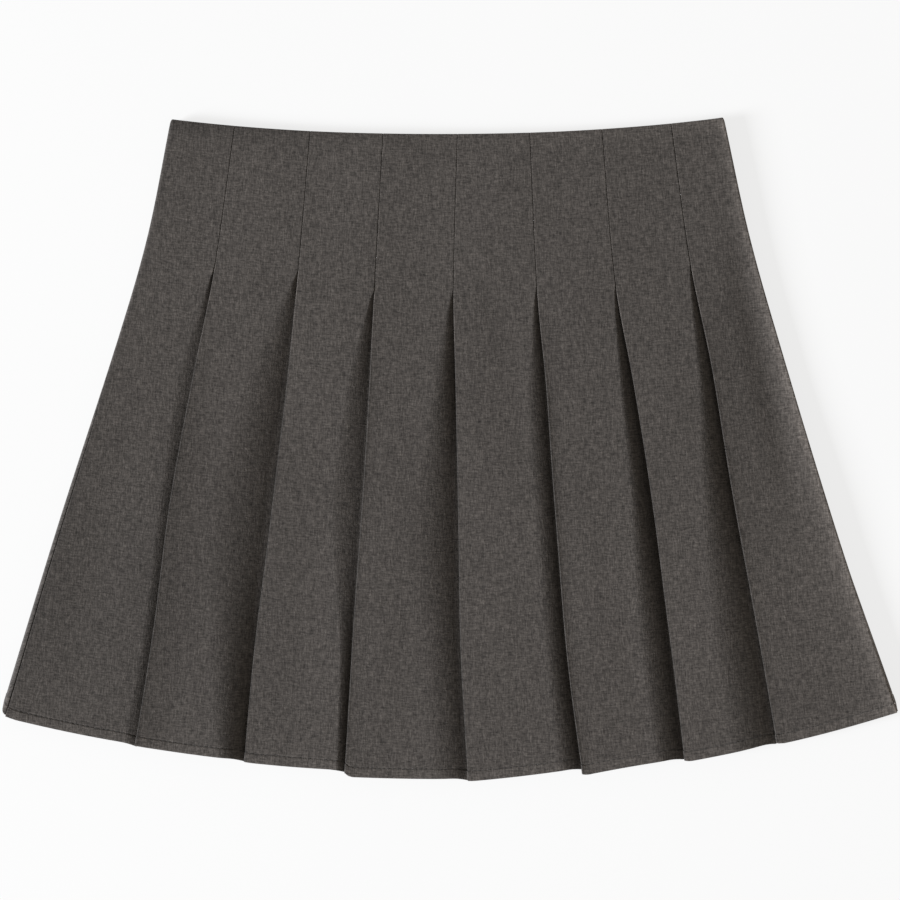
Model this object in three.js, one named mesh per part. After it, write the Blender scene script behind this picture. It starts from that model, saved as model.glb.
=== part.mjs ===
// A mini skirt with fifteen knife pleats, laid flat with its front up.
// The cloth is one tube, pressed flat. Seven pleats show on the front, six lie on the back and
// one turns round each side. Every pleat is folded as it is sewn: the cloth runs in under the
// next fold, turns, comes back to the fold's edge and turns again into the next face.
// Millimetres. X runs across, Y from the hem to the waist, Z up from the surface it lies on.
import * as THREE from "three";

const { lerp, clamp, smoothstep } = THREE.MathUtils;

/** Rows with named columns. */
const tableOf = (columns, rows) =>
  rows.map((row) => Object.fromEntries(columns.map((name, i) => [name, row[i]])));

// ---- Driving sizes -----------------------------------------------------------------------------
const CLOTH = 1.0; // thickness of the wall
const LAYER = 1.4; // from the middle of one folded layer to the middle of the next
const PLEATS = 15; // number 0 is on the left side, and numbers go over the front
const RIGHT_SIDE = 8; // the pleat on the right side

// Shares of the length, from 0 at the waist to 1 at the hem, at which the wall has a section.
const LEVELS = [0, 0.1, 0.2, 0.25, 0.32, 0.45, 0.62, 0.8, 1];
const MIDDLE_LEVEL = 0.6; // the level of the columns named middle

// Left and right edge of the flat skirt.
const SIDES = tableOf(["level", "left", "right"], [
  [0.0, -168.0, 164.6],
  [0.2, -182.4, 180.2],
  [0.4, -203.2, 200.4],
  [0.7, -236.8, 232.8],
  [1.0, -268.8, 268.8],
]);

// The front's folds, from left to right. waist, released, middle and hem: the fold's x there.
// stitched: the level where its stitching ends. liftMiddle, liftHem: how far the fold stands up.
// riseAtFold, riseAtEnd: how far the hem of its face lies above the hem's curve.
// corner: how far the hem's corner at the fold is drawn up.
const FRONT_PLEATS = tableOf(
  ["waist", "released", "middle", "hem", "stitched",
    "liftMiddle", "liftHem", "riseAtFold", "riseAtEnd", "corner"],
  [
    [-129.0, -141.6, -168.2, -189.6, 0.232, 1.0, 0.8, 0.3, 2.6, 0.6],
    [-83.7, -91.8, -109.0, -124.2, 0.212, 3.0, 3.2, 2.4, 3.4, 0.6],
    [-39.9, -44.9, -55.3, -63.1, 0.247, 2.4, 1.6, 0.0, 0.6, 2.6],
    [4.8, 2.1, 4.1, 9.9, 0.245, 3.0, 2.4, -0.6, 4.0, 0.6],
    [48.3, 52.4, 62.3, 79.6, 0.244, 2.6, 2.8, 0.0, 3.0, 2.4],
    [91.6, 98.4, 119.9, 140.8, 0.247, 3.8, 2.8, 0.3, 1.2, 1.0],
    [133.2, 144.0, 168.5, 196.1, 0.229, 3.4, 3.8, -0.1, -0.5, 1.0],
  ]);
const LEFT_FACE = { riseAtFold: -3.0, riseAtEnd: -0.3, corner: 4.5 };
const CORNER_REACH = 7; // how far along the hem a drawn-up corner is felt

// Sizes that change from the waist to the hem.
const UNDERLAY = { waist: 16, hem: 22 }; // how far a pleat's cloth runs in under the next fold
const LEFT_UNDERLAY = { waist: 13, hem: 20 };
const RIGHT_UNDERLAY = { waist: 8, hem: 17 };
const HEIGHT = { waist: 8.4, hem: 9.4 }; // of the flat tube, where no fold is lifted
const SLOPE_IN = { stitched: 2, free: 22 }; // width over which a face slopes in under a fold
const FOLD_CLEAR = 1.1; // the slope is over this far before the fold's edge
const LIFT_REACH = 26; // how far from its edge a fold is lifted

// The top edge and the hem, seen from above.
const WAIST_Y = 189.6; // the waist at its lowest, in the middle
const WAIST_DIP = 9.4; // how much higher its corners are
const WAIST_CURVE = 2.2; // the power of its curve
const HEM_Y = -198.9; // the hem at its lowest
const HEM_RADIUS = 877;
const HEM_CENTRE_X = 2;
const BACK_SHORTER = { waist: 0.8, hem: 1.6 }; // the back stops short of the front's edges

// How many steps each stretch of a section has.
const TURN_STEPS = 4;
const FACE_STEPS = 4;
const SLOPE_STEPS = 3;
const RETURN_STEPS = 2;
const ARC_STEPS = 4;

// ---- Curves through the tables -----------------------------------------------------------------
/** The value at a level of a smooth line through [level, value] knots. */
function through(knots, level) {
  const last = knots.length - 1;
  const slope = (i) => {
    const before = knots[Math.max(i - 1, 0)];
    const after = knots[Math.min(i + 1, last)];
    return (after[1] - before[1]) / (after[0] - before[0]);
  };
  const above = knots.findIndex(([knotLevel]) => knotLevel > level);
  const i = above < 0 ? last - 1 : clamp(above - 1, 0, last - 1);
  const [[fromLevel, from], [toLevel, to]] = [knots[i], knots[i + 1]];
  const width = toLevel - fromLevel;
  const t = (level - fromLevel) / width;
  const bend = t * (1 - t) * width * ((1 - t) * slope(i) - t * slope(i + 1));
  const chord = ((to - from) / width) * t * (1 - t) * (1 - 2 * t) * width;
  return lerp(from, to, t) - chord + bend;
}

const fromWaistToHem = (size, level) => lerp(size.waist, size.hem, level);
const sideX = (side, level) => through(SIDES.map((row) => [row.level, row[side]]), level);

const frontFoldX = ({ waist, released, middle, hem, stitched }, level) =>
  through([[0, waist], [stitched, released], [MIDDLE_LEVEL, middle], [1, hem]], level);

/** Evenly spaced values from one stop to the next, without the first. */
const stepsThrough = (stops, counts) =>
  counts.flatMap((count, i) =>
    Array.from({ length: count }, (_, j) => lerp(stops[i], stops[i + 1], (j + 1) / count)));

// ---- The flat tube at one level ----------------------------------------------------------------
/** The tube at a level. Distances go round it from its left edge, over the front first. */
function tubeAt(level) {
  const height = fromWaistToHem(HEIGHT, level);
  const radius = (height - CLOTH) / 2;
  const quarter = (Math.PI / 2) * radius;
  const left = sideX("left", level) + CLOTH / 2 + radius;
  const right = sideX("right", level) - CLOTH / 2 - radius;
  const rightEdge = 2 * quarter + right - left;
  return { level, height, radius, quarter, left, right, rightEdge, around: 2 * rightEdge };
}

/** The point at a distance round the tube, and so far out from its faces. */
function pointOn(tube, distance, out) {
  const { height, radius, quarter, left, right, rightEdge, around } = tube;
  const at = (distance + around) % around;
  const [reach, middle] = [radius + out, height / 2];
  if (at < quarter) {
    const angle = at / radius;
    return { x: left - reach * Math.cos(angle), z: middle + reach * Math.sin(angle) };
  }
  if (at < rightEdge - quarter) return { x: left + at - quarter, z: middle + reach };
  if (at < rightEdge + quarter) {
    const angle = (at - rightEdge) / radius;
    return { x: right + reach * Math.cos(angle), z: middle - reach * Math.sin(angle) };
  }
  if (at < around - quarter) return { x: right - (at - rightEdge - quarter), z: middle - reach };
  const angle = (around - at) / radius;
  return { x: left - reach * Math.cos(angle), z: middle - reach * Math.sin(angle) };
}

/** How far round the tube a pleat's fold lies. */
function foldAt(tube, pleat) {
  const { level, left, quarter, rightEdge, around } = tube;
  const turned = level ** 2; // the side folds turn from the back to the front
  const leftFold = lerp(0.3, quarter - 1.7, turned);
  const rightFold = rightEdge + lerp(quarter - 1.5, -0.5 * quarter, turned);
  if (pleat === 0) return leftFold;
  if (pleat < RIGHT_SIDE) return quarter + frontFoldX(FRONT_PLEATS[pleat - 1], level) - left;
  return lerp(rightFold, around + leftFold, (pleat - RIGHT_SIDE) / (PLEATS - RIGHT_SIDE));
}

/** How far a pleat's cloth runs in under its fold. */
function underlayOf(tube, pleat) {
  const sizes = { 0: LEFT_UNDERLAY, [RIGHT_SIDE]: RIGHT_UNDERLAY }[pleat % PLEATS];
  return fromWaistToHem(sizes ?? UNDERLAY, tube.level);
}

/** How high a fold of the front stands at this level. */
function liftOf(pleat, level) {
  const row = FRONT_PLEATS[pleat - 1];
  if (!row) return 0;
  const toHem = clamp((level - MIDDLE_LEVEL) / (1 - MIDDLE_LEVEL), 0, 1);
  return smoothstep(level, row.stitched, MIDDLE_LEVEL) * lerp(row.liftMiddle, row.liftHem, toHem);
}

const fading = (distance, reach) => Math.max(0, 1 - distance / reach) ** 2;

// ---- The stretches of one pleat ----------------------------------------------------------------
// Each stretch is a list of points in the middle of the wall: at, the distance round the tube;
// out, how far out from the faces; rise, how far the hem lies above its curve there.
const hemOf = (pleat) =>
  pleat % PLEATS === 0 ? LEFT_FACE : FRONT_PLEATS[pleat - 1] ?? { riseAtFold: 0, riseAtEnd: 0, corner: 0 };

/** Where a hidden layer is tucked above the hem of the face that covers it. */
const hiddenRise = (pleat) => Math.max(hemOf(pleat - 1).riseAtEnd, hemOf(pleat).riseAtFold) + 1;

/** The return layer of a pleat, from its inner end out to the fold, and round the fold. */
function returnStretch(tube, pleat) {
  const edge = foldAt(tube, pleat);
  const underlay = underlayOf(tube, pleat);
  const lift = liftOf(pleat, tube.level);
  const turnRadius = LAYER / 2;
  const { riseAtFold, corner } = hemOf(pleat);
  const foldRise = riseAtFold + corner;
  const inner = edge + underlay - turnRadius;
  const stops = { 0: [inner, tube.quarter, edge + turnRadius],
    [RIGHT_SIDE]: [inner, tube.rightEdge + tube.quarter, edge + turnRadius] }[pleat];
  const places = stops
    ? stepsThrough(stops, [RETURN_STEPS, ARC_STEPS])
    : stepsThrough([inner, edge + turnRadius], [RETURN_STEPS]);
  const layer = [inner, ...places.slice(0, -1)].map((at) => ({
    at,
    out: lift * fading(at - edge, underlay) - LAYER,
    rise: lerp(hiddenRise(pleat), foldRise, fading(at - edge, underlay)),
  }));
  const fold = Array.from({ length: TURN_STEPS + 1 }, (_, i) => {
    const angle = (Math.PI * i) / TURN_STEPS;
    return {
      at: edge + turnRadius * (1 - Math.sin(angle)),
      out: lift - LAYER + turnRadius * (1 - Math.cos(angle)),
      rise: foldRise,
    };
  });
  return [...layer, ...fold];
}

/** The face of a pleat, from its fold to the edge of the next fold, which it slopes in under. */
function faceStretch(tube, pleat) {
  const { level, quarter, rightEdge, around } = tube;
  const from = foldAt(tube, pleat);
  const to = foldAt(tube, pleat + 1);
  const slopes = pleat < RIGHT_SIDE - 1 ? smoothstep(level, 0.22, MIDDLE_LEVEL) : 0;
  const low = to - FOLD_CLEAR;
  const end = low - lerp(SLOPE_IN.stitched, SLOPE_IN.free, slopes);
  const start = from + LAYER / 2;
  const arc = { 0: quarter, [RIGHT_SIDE - 1]: rightEdge - quarter,
    [RIGHT_SIDE]: rightEdge + quarter, [PLEATS - 1]: around - quarter }[pleat];
  const spread = Array.from({ length: FACE_STEPS }, (_, i) =>
    lerp(start, end, ((i + 1) / FACE_STEPS) ** 1.4));
  const places = arc === undefined
    ? [...spread, ...stepsThrough([end, low], [SLOPE_STEPS])]
    : stepsThrough([start, arc, end, low], [ARC_STEPS, ARC_STEPS, SLOPE_STEPS]);
  const { riseAtFold, riseAtEnd, corner } = hemOf(pleat);
  return places.map((at) => ({
    at,
    out: liftOf(pleat, level) * fading(at - from, LIFT_REACH)
      - 2 * LAYER * smoothstep(at, end, low),
    rise: lerp(riseAtFold, riseAtEnd, (at - from) / (to - from))
      + corner * fading(at - from, CORNER_REACH),
  }));
}

/** The layer that runs on from a face in under the next fold, and round its inner end. */
function underStretch(tube, pleat, turns) {
  const next = pleat + 1;
  const edge = foldAt(tube, next);
  const inner = edge + underlayOf(tube, next);
  const turnRadius = LAYER / 2;
  const start = inner - turnRadius;
  const arcEnd = { [RIGHT_SIDE]: tube.rightEdge + tube.quarter,
    [PLEATS]: tube.around + tube.quarter }[next];
  const places = arcEnd ? stepsThrough([edge, arcEnd, start], [ARC_STEPS, 1]) : [start];
  const { riseAtEnd } = hemOf(pleat);
  const layer = places.map((at) => ({
    at,
    out: -2 * LAYER,
    rise: lerp(riseAtEnd, hiddenRise(next), (at - edge) / (start - edge)),
  }));
  const turn = Array.from({ length: TURN_STEPS - 1 }, (_, i) => {
    const angle = (Math.PI * (i + 1)) / TURN_STEPS;
    return {
      at: start + turnRadius * Math.sin(angle),
      out: -2 * LAYER + turnRadius * (1 - Math.cos(angle)),
      rise: hiddenRise(next),
    };
  });
  return turns ? [...layer, ...turn] : layer;
}

/** The middle of the wall of a piece, which runs from one side pleat to the other. */
function middleLine(tube, firstPleat, lastPleat) {
  const pleats = Array.from({ length: lastPleat - firstPleat }, (_, i) => firstPleat + i);
  return pleats.flatMap((pleat) => [
    ...returnStretch(tube, pleat),
    ...faceStretch(tube, pleat),
    ...underStretch(tube, pleat, pleat + 1 < lastPleat),
  ]);
}

/** The middle line moved out by half the cloth to one side of it (1 or -1). */
function wallLine(points, side) {
  return points.map((point, i) => {
    const directions = [[i - 1, i], [i, i + 1]]
      .filter(([a, b]) => points[a] && points[b])
      .map(([a, b]) => new THREE.Vector2(points[b].at - points[a].at, points[b].out - points[a].out)
        .normalize());
    const along = directions.reduce((sum, each) => sum.clone().add(each)).normalize();
    const reach = (side * CLOTH) / 2 / Math.max(0.75, along.dot(directions[0]));
    return { at: point.at - along.y * reach, out: point.out + along.x * reach };
  });
}

const waistY = (across) => WAIST_Y + WAIST_DIP * Math.abs(2 * across - 1) ** WAIST_CURVE;
const hemY = (x) => HEM_Y + HEM_RADIUS - Math.sqrt(HEM_RADIUS ** 2 - (x - HEM_CENTRE_X) ** 2);

/** 1 on the back, fading to 0 half way up the side. */
const underneath = (tube, { z }) => 1 - smoothstep(z, 0, tube.height / 2);

/** How high on the skirt each point of a piece's middle line starts and ends. */
function endsOf(firstPleat, lastPleat) {
  const [waist, hem] = [tubeAt(0), tubeAt(1)];
  const hemLine = middleLine(hem, firstPleat, lastPleat);
  return middleLine(waist, firstPleat, lastPleat).map(({ at, out }, i) => {
    const top = pointOn(waist, at, out);
    const bottom = pointOn(hem, hemLine[i].at, hemLine[i].out);
    const across = (top.x - sideX("left", 0)) / (sideX("right", 0) - sideX("left", 0));
    return {
      waist: waistY(clamp(across, 0, 1)) - BACK_SHORTER.waist * underneath(waist, top),
      hem: hemY(bottom.x) + hemLine[i].rise + BACK_SHORTER.hem * underneath(hem, bottom),
    };
  });
}

// ---- Solids ------------------------------------------------------------------------------------
/** A closed wall through the sections of a piece, from the waist to the hem. */
function clothWall(firstPleat, lastPleat) {
  const ends = endsOf(firstPleat, lastPleat);
  const rings = LEVELS.map((level) => {
    const tube = tubeAt(level);
    const middle = middleLine(tube, firstPleat, lastPleat);
    const outside = wallLine(middle, 1);
    const inside = wallLine(middle, -1);
    const solid = (line) => line.map(({ at, out }, i) => {
      const { x, z } = pointOn(tube, at, out);
      return [x, lerp(ends[i].waist, ends[i].hem, level), Math.max(z, 0)];
    });
    return [...solid(outside), ...solid(inside).reverse()];
  });
  const size = rings[0].length;
  const corner = (ring, i) => ring * size + ((i + size) % size);
  const faces = [];
  for (let ring = 0; ring + 1 < rings.length; ring += 1) {
    for (let i = 0; i < size; i += 1) {
      const [a, b] = [corner(ring, i), corner(ring, i + 1)];
      const [c, d] = [corner(ring + 1, i + 1), corner(ring + 1, i)];
      faces.push(a, c, b, a, d, c);
    }
  }
  const last = rings.length - 1;
  for (let i = 0; i + 1 < size / 2; i += 1) {
    const [a, b, c, d] = [i, i + 1, -2 - i, -1 - i];
    faces.push(...[a, b, c, a, c, d].map((each) => corner(0, each)));
    faces.push(...[a, c, b, a, d, c].map((each) => corner(last, each)));
  }
  const geometry = new THREE.BufferGeometry();
  geometry.setAttribute("position", new THREE.Float32BufferAttribute(rings.flat(2), 3));
  geometry.setIndex(faces);
  return geometry;
}

// ---- The skirt ---------------------------------------------------------------------------------
const cloth = { color: 0x4c4845, roughness: 0.95, metalness: 0 };
const part = new THREE.Group();

function add(name, geometry, look) {
  geometry.computeVertexNormals();
  const mesh = new THREE.Mesh(geometry, new THREE.MeshStandardMaterial(look));
  mesh.name = name;
  part.add(mesh);
}

add("front", clothWall(0, RIGHT_SIDE), cloth);
add("back", clothWall(RIGHT_SIDE, PLEATS), cloth);

export default part;
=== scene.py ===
# %% [markdown]
# # A pleated mini skirt, laid flat
# The skirt is a tube of grey-brown suiting. Its cloth is folded into knife pleats, which are sewn
# down over the hips and hang free below. It lies on a pale floor with its front up, so the tube
# is pressed nearly flat. The model that carries its sizes and its weight is loaded first. It
# fixes the frame: every length below is in millimetres in that frame, and becomes metres only
# when a mesh is made.

# %% The frame
import math
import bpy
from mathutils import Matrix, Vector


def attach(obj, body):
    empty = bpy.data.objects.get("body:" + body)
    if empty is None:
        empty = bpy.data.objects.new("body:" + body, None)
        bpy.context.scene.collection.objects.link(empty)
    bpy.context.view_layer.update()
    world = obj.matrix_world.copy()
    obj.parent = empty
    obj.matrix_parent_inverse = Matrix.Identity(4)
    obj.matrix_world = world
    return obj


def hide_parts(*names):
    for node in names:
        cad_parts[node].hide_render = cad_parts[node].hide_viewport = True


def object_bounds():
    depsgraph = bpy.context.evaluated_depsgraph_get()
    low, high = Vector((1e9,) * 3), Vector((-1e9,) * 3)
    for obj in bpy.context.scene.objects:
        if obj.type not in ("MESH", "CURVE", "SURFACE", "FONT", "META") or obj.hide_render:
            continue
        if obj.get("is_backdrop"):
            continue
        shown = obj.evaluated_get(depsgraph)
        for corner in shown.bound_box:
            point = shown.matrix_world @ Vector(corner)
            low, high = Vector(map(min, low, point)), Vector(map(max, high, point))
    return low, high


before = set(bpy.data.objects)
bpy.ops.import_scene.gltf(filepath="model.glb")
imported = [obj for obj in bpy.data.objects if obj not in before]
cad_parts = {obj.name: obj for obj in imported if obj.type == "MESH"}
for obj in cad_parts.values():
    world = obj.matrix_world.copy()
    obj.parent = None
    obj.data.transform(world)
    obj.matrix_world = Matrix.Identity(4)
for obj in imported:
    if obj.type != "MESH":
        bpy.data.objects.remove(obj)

from types import SimpleNamespace

import bpy
import numpy as np
from mathutils import Vector

MM = 0.001
cad_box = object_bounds()
print("the skirt is", [round(high - low, 4) for low, high in zip(*cad_box)], "metres")

# %% [markdown]
# ## Sizes
# The skirt is a flat tube, so its outline is the first thing to fix: the two sides at five levels,
# the top edge that dips in the middle, and the hem, which is an arc because the panels are cut
# on the flare. A level is a share of the length: 0 is the waist and 1 the hem. The back is a
# little shorter than the front, so that none of it shows beyond the front's edges.

# %% Driving sizes
PLEATS = 15  # number 0 is on the left side, and numbers go over the front
RIGHT_SIDE = 8  # the pleat on the right side
CLOTH = 0.55  # thickness of the suiting

SIDES = {  # left and right edge of the flat skirt at five levels
    "level": (0.0, 0.2, 0.4, 0.7, 1.0),
    "left": (-168.0, -182.4, -203.2, -236.8, -268.8),
    "right": (164.6, 180.2, 200.4, 232.8, 268.8),
}
# The top edge: its middle, how far its ends lie above that, how round it is, and its slant.
WAIST_Y, WAIST_DIP, WAIST_CURVE, WAIST_SKEW = 190.0, 9.4, 2.2, 0.5
HEM_Y, HEM_RADIUS, HEM_CENTRE_X = -198.2, 877, 2  # the hem's arc
BACK_SHORTER = {"waist": 0.8, "hem": 4.4}
LENGTH = WAIST_Y - HEM_Y
HEIGHT = {"waist": 6.6, "hem": 7.2}  # of the flat tube, where no fold is lifted
HEIGHT_WAVES = ((0.4, 8.5, 0.6), (0.22, 19, 2))  # size, turn from waist to hem, and start
SIDE_SQUARE = {"left": 0.55, "right": 0.42}  # both sides are pressed nearly square
print("the skirt is", LENGTH, "mm long in the middle, with", PLEATS, "pleats")

# %% [markdown]
# ## The folds of the front
# A pleat has two folds. The one that shows is its edge, and the other lies under the next face.
# Each edge of the front has a row of its own, because no two of them lie alike once a skirt has
# been worn and put down. The columns are:
#
# - waist, released, x: its place at the waist, where its stitching ends, and at four levels below
# - stitched: the level at which the stitching ends
# - lift: how high it stands at those four levels
# - roll, bend: how far before this edge the face beside it starts to roll down, and how suddenly
# - crest, crest_reach: a little more height at the edge itself, and how far that reaches
# - rise_at_fold, rise_at_end: how far its hem lies above the arc at its two ends
# - corner, bow: more rise at the hem's very corner, and in the middle of its hem

# %% The table of folds
FREE_LEVELS = (0.4, 0.6, 0.8, 1.0)
FOLD_COLUMNS = ("waist", "stitched", "released", "x", "lift", "roll", "bend", "crest",
                "crest_reach", "rise_at_fold", "rise_at_end", "corner", "bow")
FRONT_FOLDS = [SimpleNamespace(**dict(zip(FOLD_COLUMNS, row))) for row in (
    (-129.0, 0.232, -141.3, (-153.2, -167.1, -176.6, -188.3), (3.0, 5.0, 5.6, 5.2),
     (9, 7, 6, 7), 1.6, 1.1, 24, 0.2, 3.3, 0.2, 0.0),
    (-83.7, 0.230, -91.2, (-98.0, -106.8, -116.2, -123.3), (1.8, 1.8, 1.2, 0.6),
     (24, 38, 27, 17), 2.05, 0.0, 8, 1.6, 3.5, 0.2, 0.0),
    (-39.9, 0.247, -45.2, (-48.3, -52.7, -58.5, -63.0), (3.0, 4.6, 3.5, 2.6),
     (13.5, 17, 7.5, 5), 1.5, 0.3, 8, -0.2, 0.9, 2.0, 0.2),
    (4.8, 0.245, 2.4, (3.9, 5.0, 6.6, 11.0), (1.8, 2.0, 2.4, 2.8),
     (15, 29, 25, 23), 2.1, 0.0, 8, -0.6, 4.2, 0.3, 0.0),
    (48.3, 0.244, 52.6, (57.8, 63.6, 69.9, 79.6), (2.8, 4.0, 4.4, 4.0),
     (11, 11.5, 12, 13.5), 1.75, 0.5, 8, -0.4, 2.5, 0.8, 1.0),
    (91.6, 0.247, 99.8, (110.3, 122.1, 131.4, 140.7), (3.2, 5.0, 5.6, 5.4),
     (8, 12.5, 17.5, 16.5), 1.6, 0.0, 8, 0.3, 1.1, 0.8, 0.0),
    (133.2, 0.229, 145.0, (158.0, 169.7, 183.7, 196.6), (1.6, 2.0, 1.6, 1.2),
     (8.5, 18, 26, 26), 1.7, 0.0, 8, -0.6, -0.7, 0.8, -0.3),
)]
BACK_STITCHED = 0.24  # the level at which the back's stitching ends
FREE_LEVEL = 0.42  # from here down a pleat hangs quite free
print("the front has", len(FRONT_FOLDS), "folds between its sides")

# %% [markdown]
# ## How folded cloth packs
# The cloth runs in under its neighbour and back, so three layers lie at every fold. Under the
# stitching they are pressed hard together. Below it they are looser, and a face has to roll
# down before it can pass under the next one. At the hem each face of the front has its own
# small slope, and hangs a little lower just before it disappears. How deep the hidden parts
# are, and how close the layers lie, is a guess: only their edges can be seen on a skirt.

# %% How deep the pleats are, and how they lie
UNDERLAY = {"waist": 16, "hem": 22}
SIDE_UNDERLAY = {0: {"waist": 13, "hem": 20}, RIGHT_SIDE: {"waist": 8, "hem": 17}}
LAYER = {"stitched": 0.62, "free": 1.2}  # from one folded layer to the next
TIGHT_LAYER = {1: 0.78, 3: 0.95, 5: 1.0}  # folds that lie flatter than the rest
STITCHED_ROLL, BACK_ROLL = 0.06, 7.0  # how far a face rolls down to pass under the next fold
BACK_BEND = 2.0
FOLD_CLEAR = {"fold": 0.57, "left side": 0.62}  # the gap seen between a face and the next fold
FOLD_TURN = {"stitched": 0.14, "free": 0.32}  # how wide the cloth's turn round a fold is
LEFT_LIFT = 0.2  # how far the left side's fold stands up
LAST_FACE_FALL = 0.85  # the share of the front's last face over which it comes down

LEFT_FACE = SimpleNamespace(rise_at_fold=-4.4, rise_at_end=0.4, corner=0.6, bow=0.0)
BACK_FACE = SimpleNamespace(rise_at_fold=0.0, rise_at_end=0.0, corner=0.0, bow=0.0)
LEFT_BACK_FACE = SimpleNamespace(rise_at_fold=0.0, rise_at_end=-3.6, corner=0.0, bow=0.0)
CORNER_REACH = 4.5
END_DIP, END_DIP_REACH = 1.6, 10  # the hem hangs a little just before it passes under a fold
SIDE_CORNER, SIDE_CORNER_REACH = 3.4, 8  # the back's hem rounds the left side
TUCK = 1  # how much higher a hidden layer's hem lies than the hems that cover it
print("a pleat takes in", 2 * UNDERLAY["waist"], "mm of cloth at the waist and",
      2 * UNDERLAY["hem"], "mm at the hem")

# %% [markdown]
# ## Rows from the waist to the hem
# The skirt is built from rows, each one a section across the whole flat tube. Rows lie close
# together only where something small happens: where the top edge rolls over, and at the hem,
# which is turned up and stitched.

# %% Rows
HEM_TURNING = 6.0  # from the hem's edge up to its stitching
PLAIN_FROM, PLAIN_TO, PLAIN_ROWS = 7.5, 13, 80  # below the waist, above the hem, and how many
near_waist = np.array([0, 0.1, 0.35, 0.9, 1.8, 3.2])
near_stitches = HEM_TURNING + np.array([3.2, 1.6, 0.9, 0.55, 0.35, 0.18,
                                        0, -0.18, -0.35, -0.55, -0.9])
near_edge = np.array([3.4, 2.2, 1.2, 0.5, 0.2, 0.05, 0])
between = np.linspace(PLAIN_FROM, LENGTH - PLAIN_TO, PLAIN_ROWS)
FROM_WAIST = np.concatenate([near_waist, between, LENGTH - near_stitches, LENGTH - near_edge])
LEVELS = FROM_WAIST / LENGTH
print(len(LEVELS), "rows")

# %% [markdown]
# ## Curves
# Four small tools turn the sizes above into soft shapes. A blend goes straight from one value to
# another, an ease does it without a corner at either end, a fading dies out over a given reach,
# and a smooth line runs through a row of the table from knot to knot.


# %% Curves through the tables
def ease(start, end, at):
    """0 before start, 1 after end, and a soft climb between them."""
    t = np.clip((np.asarray(at, float) - start) / (end - start), 0, 1)
    return t * t * (3 - 2 * t)


def mix(start, end, share):
    return start + (end - start) * share


def fading(distance, reach):
    return np.clip(1 - distance / reach, 0, None) ** 2


def through(levels, values, at):
    """The value at a level of a smooth line through knots."""
    levels, values = np.asarray(levels, float), np.asarray(values, float)
    last = len(levels) - 1
    knot = np.arange(last + 1)
    behind, ahead = np.maximum(knot - 1, 0), np.minimum(knot + 1, last)
    slope = (values[ahead] - values[behind]) / (levels[ahead] - levels[behind])
    i = int(np.clip(np.searchsorted(levels, at, side="right") - 1, 0, last - 1))
    width = levels[i + 1] - levels[i]
    t = (at - levels[i]) / width
    chord = (values[i + 1] - values[i]) * t * t * (3 - 2 * t)
    return values[i] + chord + t * (1 - t) * width * ((1 - t) * slope[i] - t * slope[i + 1])


def side_x(side, level):
    return through(SIDES["level"], SIDES[side], level)


def waist_y(across):
    from_middle = 2 * across - 1
    return WAIST_Y + WAIST_DIP * np.abs(from_middle) ** WAIST_CURVE + WAIST_SKEW * from_middle


def hem_y(x):
    return HEM_Y + HEM_RADIUS - np.sqrt(HEM_RADIUS ** 2 - (x - HEM_CENTRE_X) ** 2)


print("half way down it is", round(side_x("right", 0.5) - side_x("left", 0.5), 1), "mm wide")

# %% [markdown]
# ## The flat tube
# A pressed tube has two flat runs and two turned sides. A point of the cloth is placed by two
# numbers: how far round the tube it lies, and how far out from the faces. Folding is then a
# drawing on a straight strip, and the same drawing serves the front, the back and the turn
# round each side. The sides are squarer than a half round, because they were pressed too, and
# the right one more than the left. The tube's height sways by a few tenths of a millimetre on
# the way down, as cloth does that nobody has ironed flat.

# %% The tube at a level
def tube_at(level):
    height = mix(HEIGHT["waist"], HEIGHT["hem"], level)
    height += sum(size * math.sin(turn * level + start) for size, turn, start in HEIGHT_WAVES)
    radius = (height - CLOTH) / 2
    quarter = math.pi / 2 * radius
    left = side_x("left", level) + CLOTH / 2 + radius
    right = side_x("right", level) - CLOTH / 2 - radius
    right_edge = 2 * quarter + right - left
    return SimpleNamespace(level=level, height=height, radius=radius, quarter=quarter, left=left,
                           right=right, right_edge=right_edge, around=2 * right_edge)


def squared(turn, side):
    """A round turn's sine or cosine, made that of a squarer turn."""
    return np.sign(turn) * np.abs(turn) ** SIDE_SQUARE[side]


def points_on(tube, distance, out):
    """x and z of points at distances round the tube, each so far out from its faces."""
    at = np.mod(distance, tube.around)
    reach, middle = tube.radius + out, tube.height / 2
    left_angle = np.where(at > tube.right_edge, at - tube.around, at) / tube.radius
    right_angle = (at - tube.right_edge) / tube.radius
    on_front = (at >= tube.quarter) & (at < tube.right_edge - tube.quarter)
    on_right = (at >= tube.right_edge - tube.quarter) & (at < tube.right_edge + tube.quarter)
    on_back = (at >= tube.right_edge + tube.quarter) & (at < tube.around - tube.quarter)
    places = [on_front, on_right, on_back]
    x = np.select(places, [tube.left + at - tube.quarter,
                           tube.right + reach * squared(np.cos(right_angle), "right"),
                           tube.right - (at - tube.right_edge - tube.quarter)],
                  tube.left - reach * squared(np.cos(left_angle), "left"))
    z = np.select(places, [middle + reach, middle - reach * squared(np.sin(right_angle), "right"),
                           middle - reach],
                  middle + reach * squared(np.sin(left_angle), "left"))
    return x, z


for name, level in (("waist", 0), ("hem", 1)):
    print("the tube is", round(tube_at(level).height, 2), "mm high at the", name)

# %% [markdown]
# ## The folds' places
# A pressed fold is nearly straight, but never quite: below the stitching it wanders by a few
# tenths of a millimetre. Two slow waves for each pleat, started at different points, give that
# unevenness, and the same every time. The folds of the two side pleats lie on the turned sides
# and slip a little round them on the way down, and the back's are spread evenly between those.

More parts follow.
